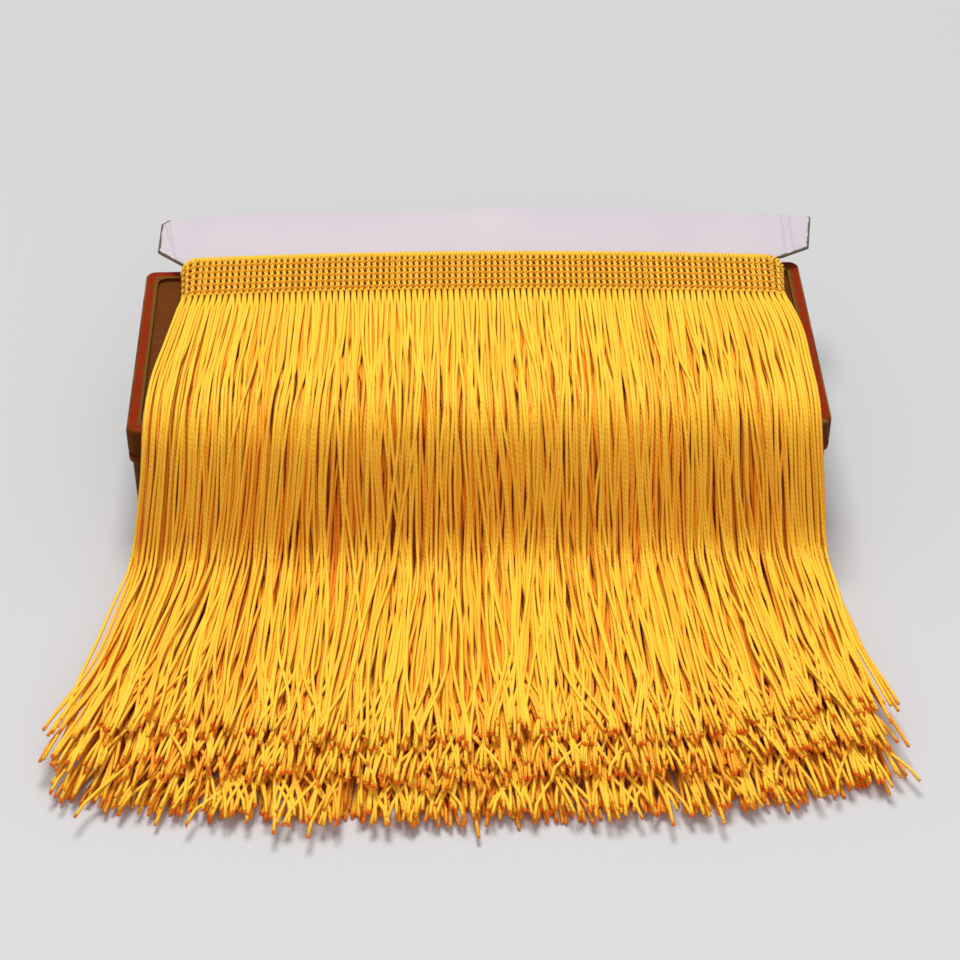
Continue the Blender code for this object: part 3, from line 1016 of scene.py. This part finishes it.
# Each crease: where it crosses the flange, how far it bends the end down, how soft it is and how it leans
CREASES = (
    {"u": -98 * MM, "drop": 0.35 * MM, "soft": 3.0 * MM, "lean": 0.18},
    {"u": -94.5 * MM, "drop": 0.15 * MM, "soft": 2.0 * MM, "lean": 0.30},
    {"u": 103 * MM, "drop": 0.20 * MM, "soft": 2.5 * MM, "lean": 0.0},
    {"u": 106.5 * MM, "drop": 0.15 * MM, "soft": 2.0 * MM, "lean": 0.02},
)


def card_outline():
    """Corners of the card as cut, from the near left one round to the near right one."""
    far = HEADING_HEIGHT + FLANGE_DEPTH
    near = HEADING_HEIGHT + SHOW_NECK
    wide, deep = FLANGE_CHAMFER
    round_wide, round_deep = FLANGE_CORNER
    return (
        (-NECK_HALF_WIDTH, NECK_FRONT),
        (-NECK_HALF_WIDTH, near),
        (FLANGE_LEFT + wide, near),
        (FLANGE_LEFT, near + deep),
        (FLANGE_LEFT, far - round_deep),
        (FLANGE_LEFT + round_wide, far),
        (FLANGE_RIGHT - round_wide * RIGHT_CORNER_SHARE, far),
        (FLANGE_RIGHT, far - round_deep * RIGHT_CORNER_SHARE),
        (FLANGE_RIGHT - FLANGE_SLANT, near + deep),
        (FLANGE_RIGHT - FLANGE_SLANT - wide, near + RIGHT_CHAMFER_BACK),
        (NECK_HALF_WIDTH, near),
        (NECK_HALF_WIDTH, NECK_FRONT),
    )


print("the card is cut with", len(card_outline()), "corners")

# %% The card's finish
COATED_DARK = (0.50, 0.445, 0.50, 1)
COATED_LIGHT = (0.57, 0.52, 0.55, 1)
SPECK_COLOUR = (0.35, 0.31, 0.29, 1)
# Painted shade along the creases
CREASE_SHADE = (0.36, 0.31, 0.33, 1)
RUBBED_COLOUR = (0.11, 0.07, 0.04, 1)
BOARD_DARK = (0.075, 0.055, 0.035, 1)
BOARD_LIGHT = (0.22, 0.17, 0.12, 1)
CREASE_HALF_WIDTH = 0.25
# By how many mm the wear keeps off the straight far edge, which is cleaner than the slanted ones
FAR_EDGE_SPARED = 0.9


def beside_line(tree, u, v, start, end):
    """How far a flat place lies to the left of the line from start to end, in millimetres."""
    along = Vector(end) - Vector(start)
    across = Vector((-along.y, along.x)).normalized()
    share_u = times(tree, minus(tree, u, start[0] / MM), across.x)
    share_v = times(tree, minus(tree, v, start[1] / MM), across.y)
    return plus(tree, share_u, share_v)


def band(tree, value, low, high, soft=0.25):
    """1 where a value lies between low and high, 0 outside, with soft edges."""
    rising = smooth_step(tree, value, low - soft, low + soft)
    falling = smooth_step(tree, value, high + soft, high - soft)
    return times(tree, rising, falling)


def coated_material():
    """The coated face: a pale lavender white, creased near its ends with painted shade along the creases, and
    rubbed brown along their edges.
    """
    material, tree, shader = new_material("coated_face")
    flat = tree.nodes.new("ShaderNodeUVMap")
    flat.uv_map = "flat"
    parts = axes_of(tree, flat.outputs["UV"])
    u, v = parts["X"], parts["Y"]
    place = object_place(tree)
    cloud = noise_value(tree, place, 26.0, 3.0)
    fray = noise_value(tree, place, 420.0, 3.0)
    speck = noise_value(tree, place, 700.0, 2.0)
    colour = mix_colours(tree, cloud, COATED_DARK, COATED_LIGHT)
    marks = smooth_step(tree, speck, 0.62, 0.76)
    colour = mix_colours(tree, times(tree, marks, 0.10), colour, SPECK_COLOUR)
    bends = None
    for crease in CREASES:
        leaning = plus(tree, u, times(tree, v, crease["lean"]))
        leaning = plus(tree, leaning, times(tree, fray, 1.6))
        middle = crease["u"] / MM
        line = band(tree, leaning, middle - CREASE_HALF_WIDTH, middle + CREASE_HALF_WIDTH, 0.35)
        bends = line if bends is None else math_node(tree, "MAXIMUM", bends, line)
    # Painted shade along each crease
    colour = mix_colours(tree, times(tree, bends, 0.28), colour, CREASE_SHADE)
    corners = card_outline()
    edge = None
    for start, end in zip(corners[2:9], corners[3:10]):
        inside = beside_line(tree, u, v, end, start)
        if start[1] == end[1]:
            inside = plus(tree, inside, FAR_EDGE_SPARED)
        edge = inside if edge is None else math_node(tree, "MINIMUM", edge, inside)
    rough_edge = plus(tree, edge, times(tree, fray, -1.3))
    worn = smooth_step(tree, rough_edge, 0.25, -0.15)
    colour = mix_colours(tree, worn, colour, RUBBED_COLOUR)
    paint(tree, shader, colour, 0.5)
    shader.inputs["Specular IOR Level"].default_value = 0.3
    bumps = plus(tree, speck, cloud)
    height = minus(tree, bumps, times(tree, bends, 2.0))
    add_bump(tree, shader, height, 0.06 * MM)
    return material


def board_material():
    """The bare grey-brown board at the cut edges and on the back."""
    material, tree, shader = new_material("bare_board")
    place = object_place(tree)
    plies = noise_value(tree, stretched(tree, place, (0.15, 0.15, 6.0)), 700.0, 2.0)
    colour = mix_colours(tree, plies, BOARD_DARK, BOARD_LIGHT)
    paint(tree, shader, colour, 0.85)
    add_bump(tree, shader, plies, 0.1 * MM)
    return material


print("card finishes are ready")

# %% The card's shape
CARD_COLUMNS = 56
CARD_ROWS = 6
RIM_BEVEL = 0.32 * MM
# Two slight waves of the flange, each with its height and its length over a radian
LONG_WAVE = (0.35 * MM, 17 * MM)
SHORT_WAVE = (0.2 * MM, 7.3 * MM)


def card_height(u, v):
    """Height of the card's middle plane, with its arch, a slight waviness and its creases."""
    beyond = max(0.0, v - HEADING_HEIGHT) / FLANGE_DEPTH
    arch = FLANGE_ARCH * max(0.0, 1 - (u / ARCH_SPAN) ** 2)
    wave = LONG_WAVE[0] * math.sin(u / LONG_WAVE[1]) + SHORT_WAVE[0] * math.sin(u / SHORT_WAVE[1] + 1)
    bend = 0.0
    for crease in CREASES:
        past = (u - crease["u"]) * (1 if crease["u"] > 0 else -1)
        bend -= crease["drop"] * max(0.0, min(1.0, past / crease["soft"]))
    lift = CROWN / 2 * float(crown_at(u))
    return float(stack_at(v)) / 2 + lift + beyond * (arch + wave) + min(1.0, 3 * beyond) * bend


def cut_through(mesh, place, way):
    """Divides every face of a mesh along a plane."""
    geometry = list(mesh.verts) + list(mesh.edges) + list(mesh.faces)
    bmesh.ops.bisect_plane(mesh, geom=geometry, plane_co=place, plane_no=way)


def is_rim(edge):
    """True for the sharp edges round the card's face and back, not for those through its thickness."""
    level = abs(edge.verts[0].co.z - edge.verts[1].co.z) < MM / 10
    return level and len(edge.link_faces) == 2 and edge.calc_face_angle() > 1.2


def make_card():
    mesh = bmesh.new()
    mesh.faces.new([mesh.verts.new((u, v, -CARD_THICKNESS / 2)) for u, v in card_outline()])
    for i in range(1, CARD_COLUMNS):
        cut_through(mesh, (FLANGE_LEFT + (FLANGE_RIGHT - FLANGE_LEFT) * i / CARD_COLUMNS, 0, 0), (1, 0, 0))
    for i in range(CARD_ROWS):
        cut_through(mesh, (0, HEADING_HEIGHT + FLANGE_DEPTH * i / CARD_ROWS, 0), (0, 1, 0))
    bmesh.ops.recalc_face_normals(mesh, faces=mesh.faces)
    raised = bmesh.ops.extrude_face_region(mesh, geom=list(mesh.faces), use_keep_orig=True)
    upper = [g for g in raised["geom"] if isinstance(g, bmesh.types.BMVert)]
    bmesh.ops.translate(mesh, vec=(0, 0, CARD_THICKNESS), verts=upper)
    bmesh.ops.recalc_face_normals(mesh, faces=mesh.faces)
    rim = [e for e in mesh.edges if is_rim(e)]
    bmesh.ops.bevel(mesh, geom=rim, offset=RIM_BEVEL, segments=2, affect="EDGES", profile=0.5, material=-1)
    for face in mesh.faces:
        face.material_index = 0 if face.normal.z > 0.8 else 1
    flat = mesh.loops.layers.uv.new("flat")
    for face in mesh.faces:
        for loop in face.loops:
            loop[flat].uv = (loop.vert.co.x / MM, loop.vert.co.y / MM)
    for vert in mesh.verts:
        u, v, w = vert.co
        vert.co = from_pack(u, v, w + card_height(u, v))
    data = bmesh_to_data("card_board", mesh)
    data.materials.append(coated_material())
    data.materials.append(board_material())
    data.shade_smooth()
    data.set_sharp_from_angle(angle=math.radians(40))
    card = add_to_scene("card_board", data)
    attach(card, "root")
    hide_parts("winding_card")
    return card


card = make_card()
far_edge = max(v.co.y for v in card.data.vertices)
print("the card has", len(card.data.polygons), "faces and reaches back to y =", round(far_edge, 4))

# %% [markdown]
# ## The wooden block
#
# A plain block with a moulded edge and a shallow recess in its top. It grows from one rounded outline:
# extruding that face upwards, and narrowing it at each step, draws the moulding round all four sides. The
# lacquer is dark, with a red band and a thin olive line painted on the rim, and it has rubbed through to
# lighter wood along the edges. The rim's top is a lighter wood than the sides and the recess: painted light
# from above.

# %% The block's finish
BODY_WOOD = ((0.075, 0.020, 0.002, 1), (0.16, 0.052, 0.005, 1))
# The rim's top: a lighter copy of the body wood, as painted light from above
RIM_WOOD_LIT = ((0.12, 0.027, 0.002, 1), (0.22, 0.052, 0.004, 1))
RED_CLOUD = (0.17, 0.030, 0.003, 1)
RED_PAINT = (0.26, 0.015, 0.001, 1)
OLIVE_PAINT = (0.13, 0.075, 0.010, 1)
RUBBED_WOOD = (0.42, 0.22, 0.07, 1)
# Where the red band, the olive line and the worn edge lie, in mm in from the block's side
RED_BAND = (1.0, 3.4)
OLIVE_BAND = (3.5, 4.3)
EDGE_BAND = (-0.5, 0.75)


def distance_from_side(tree, place):
    """Millimetres in from the block's nearest side, at a place on it."""
    parts = axes_of(tree, place)
    middle_y = FRONT.y + BLOCK_DEPTH / 2
    from_middle_x = math_node(tree, "ABSOLUTE", minus(tree, parts["X"], FRONT.x))
    from_middle_y = math_node(tree, "ABSOLUTE", minus(tree, parts["Y"], middle_y))
    in_x = minus(tree, BLOCK_WIDTH / 2, from_middle_x)
    in_y = minus(tree, BLOCK_DEPTH / 2, from_middle_y)
    return times(tree, math_node(tree, "MINIMUM", in_x, in_y), 1 / MM), parts["Z"]


def lacquer_material():
    """Dark lacquer on streaky wood, with the painted rim, rubbed through along the top edge; the rim's top is
    lighter as painted light.
    """
    material, tree, shader = new_material("lacquered_wood")
    place = object_place(tree)
    inward, above_table = distance_from_side(tree, place)
    grain = noise_value(tree, stretched(tree, place, (3.0, 40.0, 40.0)), 9.0, 6.0, 0.62)
    pores = noise_value(tree, stretched(tree, place, (18.0, 260.0, 260.0)), 7.0, 3.0)
    cloud = noise_value(tree, place, 38.0, 4.0)
    wood = mix_colours(tree, grain, *BODY_WOOD)
    wood = mix_colours(tree, times(tree, cloud, 0.4), wood, RED_CLOUD)
    uneven = times(tree, minus(tree, cloud, 0.5), 1.1)
    ragged = plus(tree, inward, uneven)
    on_rim = smooth_step(tree, above_table, BLOCK_HEIGHT - 0.7 * MM, BLOCK_HEIGHT - 0.2 * MM)
    # Painted light: the rim's top gets a lighter wood, and the sides and the recess keep the darker body wood
    lit_rim_wood = mix_colours(tree, grain, *RIM_WOOD_LIT)
    colour = mix_colours(tree, on_rim, wood, lit_rim_wood)
    streaks = smooth_step(tree, grain, 0.25, 0.60)
    red = times(tree, band(tree, ragged, *RED_BAND, soft=0.4), streaks)
    colour = mix_colours(tree, times(tree, red, on_rim), colour, RED_PAINT)
    olive = band(tree, ragged, *OLIVE_BAND)
    colour = mix_colours(tree, times(tree, olive, on_rim), colour, OLIVE_PAINT)
    edge = band(tree, ragged, *EDGE_BAND)
    near_top = smooth_step(tree, above_table, BLOCK_HEIGHT - 2.2 * MM, BLOCK_HEIGHT - 0.6 * MM)
    top_edge = times(tree, edge, near_top)
    wear = times(tree, top_edge, smooth_step(tree, cloud, 0.42, 0.62))
    colour = mix_colours(tree, times(tree, wear, 0.7), colour, RUBBED_WOOD)
    paint(tree, shader, colour, plus(tree, times(tree, cloud, 0.25), 0.35))
    shader.inputs["Specular IOR Level"].default_value = 0.04
    height = plus(tree, grain, times(tree, pores, 0.6))
    add_bump(tree, shader, height, 0.18 * MM)
    return material


print("lacquer recipe is ready")

# %% The block's shape
CORNER_RADIUS = 3 * MM
CORNER_SEGMENTS = 8
RIM_WIDTH = 4.5 * MM
RECESS_DEPTH = 1.2 * MM
# The moulding from the bottom up: height, and how far in from the block's full width. Both in mm.
MOULDING = (
    (0.0, 1.5),
    (0.7, 0.9),
    (25.4, 0.9),
    (26.0, 0.55),
    (26.4, 0.1),
    (27.0, 0.0),
    (28.6, 0.0),
    (29.0, 0.45),
    (29.8, 0.45),
    (30.2, 0.0),
    (37.6, 0.0),
    (38.2, 0.12),
    (38.7, 0.45),
    (39.0, 1.1),
)


def raise_faces(mesh, faces, keep=False):
    """Grows a joined copy of some faces and returns it. The old faces go, unless they close the bottom."""
    grown = bmesh.ops.extrude_face_region(mesh, geom=faces, use_keep_orig=keep)
    if not keep:
        bmesh.ops.delete(mesh, geom=faces, context="FACES_ONLY")
    return [g for g in grown["geom"] if isinstance(g, bmesh.types.BMFace)]


def corners_of(faces):
    """The corners of some faces, each once."""
    return list({v for face in faces for v in face.verts})


def narrow(mesh, faces, old, new):
    """Scales faces that lie one inset within the block's outline, so that they lie another within it."""
    share = [(size - 2 * new) / (size - 2 * old) for size in (BLOCK_WIDTH, BLOCK_DEPTH)]
    bmesh.ops.scale(mesh, vec=(*share, 1), verts=corners_of(faces))


def make_block():
    mesh = bmesh.new()
    bmesh.ops.create_grid(mesh, x_segments=1, y_segments=1, size=0.5)
    middle = Vector((FRONT.x, FRONT.y + BLOCK_DEPTH / 2, 0))
    bmesh.ops.scale(mesh, vec=(BLOCK_WIDTH, BLOCK_DEPTH, 1), verts=mesh.verts)
    bmesh.ops.bevel(
        mesh, geom=list(mesh.verts), offset=CORNER_RADIUS, segments=CORNER_SEGMENTS, affect="VERTICES",
        profile=0.5, material=-1,
    )
    top = list(mesh.faces)
    last_z = last_inset = 0.0
    for z, inset in MOULDING:
        if z > 0:
            top = raise_faces(mesh, top, keep=last_z == 0)
        narrow(mesh, top, last_inset * MM, inset * MM)
        bmesh.ops.translate(mesh, vec=(0, 0, (z - last_z) * MM), verts=corners_of(top))
        last_z, last_inset = z, inset
    top = raise_faces(mesh, top)
    narrow(mesh, top, last_inset * MM, RIM_WIDTH)
    top = raise_faces(mesh, top)
    bmesh.ops.translate(mesh, vec=(0, 0, -RECESS_DEPTH), verts=corners_of(top))
    bmesh.ops.translate(mesh, vec=middle, verts=mesh.verts)
    bmesh.ops.recalc_face_normals(mesh, faces=mesh.faces)
    data = bmesh_to_data("display_block", mesh)
    data.materials.append(lacquer_material())
    data.shade_smooth()
    data.set_sharp_from_angle(angle=math.radians(35))
    block = add_to_scene("display_block", data)
    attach(block, "root")
    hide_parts("wood_block")
    return block


block = make_block()
print("the block has", len(block.data.polygons), "faces")

# %% [markdown]
# ## The last checks
#
# The dressed model should fill the space of the solids, with only a little cord standing proud.

# %% Sizes and finish
dressed_box = [[float(c) for c in corner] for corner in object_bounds()]
for axis, name in enumerate("xyz"):
    solid, dressed = ([round(corner[axis], 4) for corner in box] for box in (solids_box, dressed_box))
    print(name, "solids", solid, "dressed", dressed)
every_mesh = [o.data for o in bpy.data.objects if o.type == "MESH"]
print("triangles in all:", sum(len(data.loops) - 2 * len(data.polygons) for data in every_mesh))
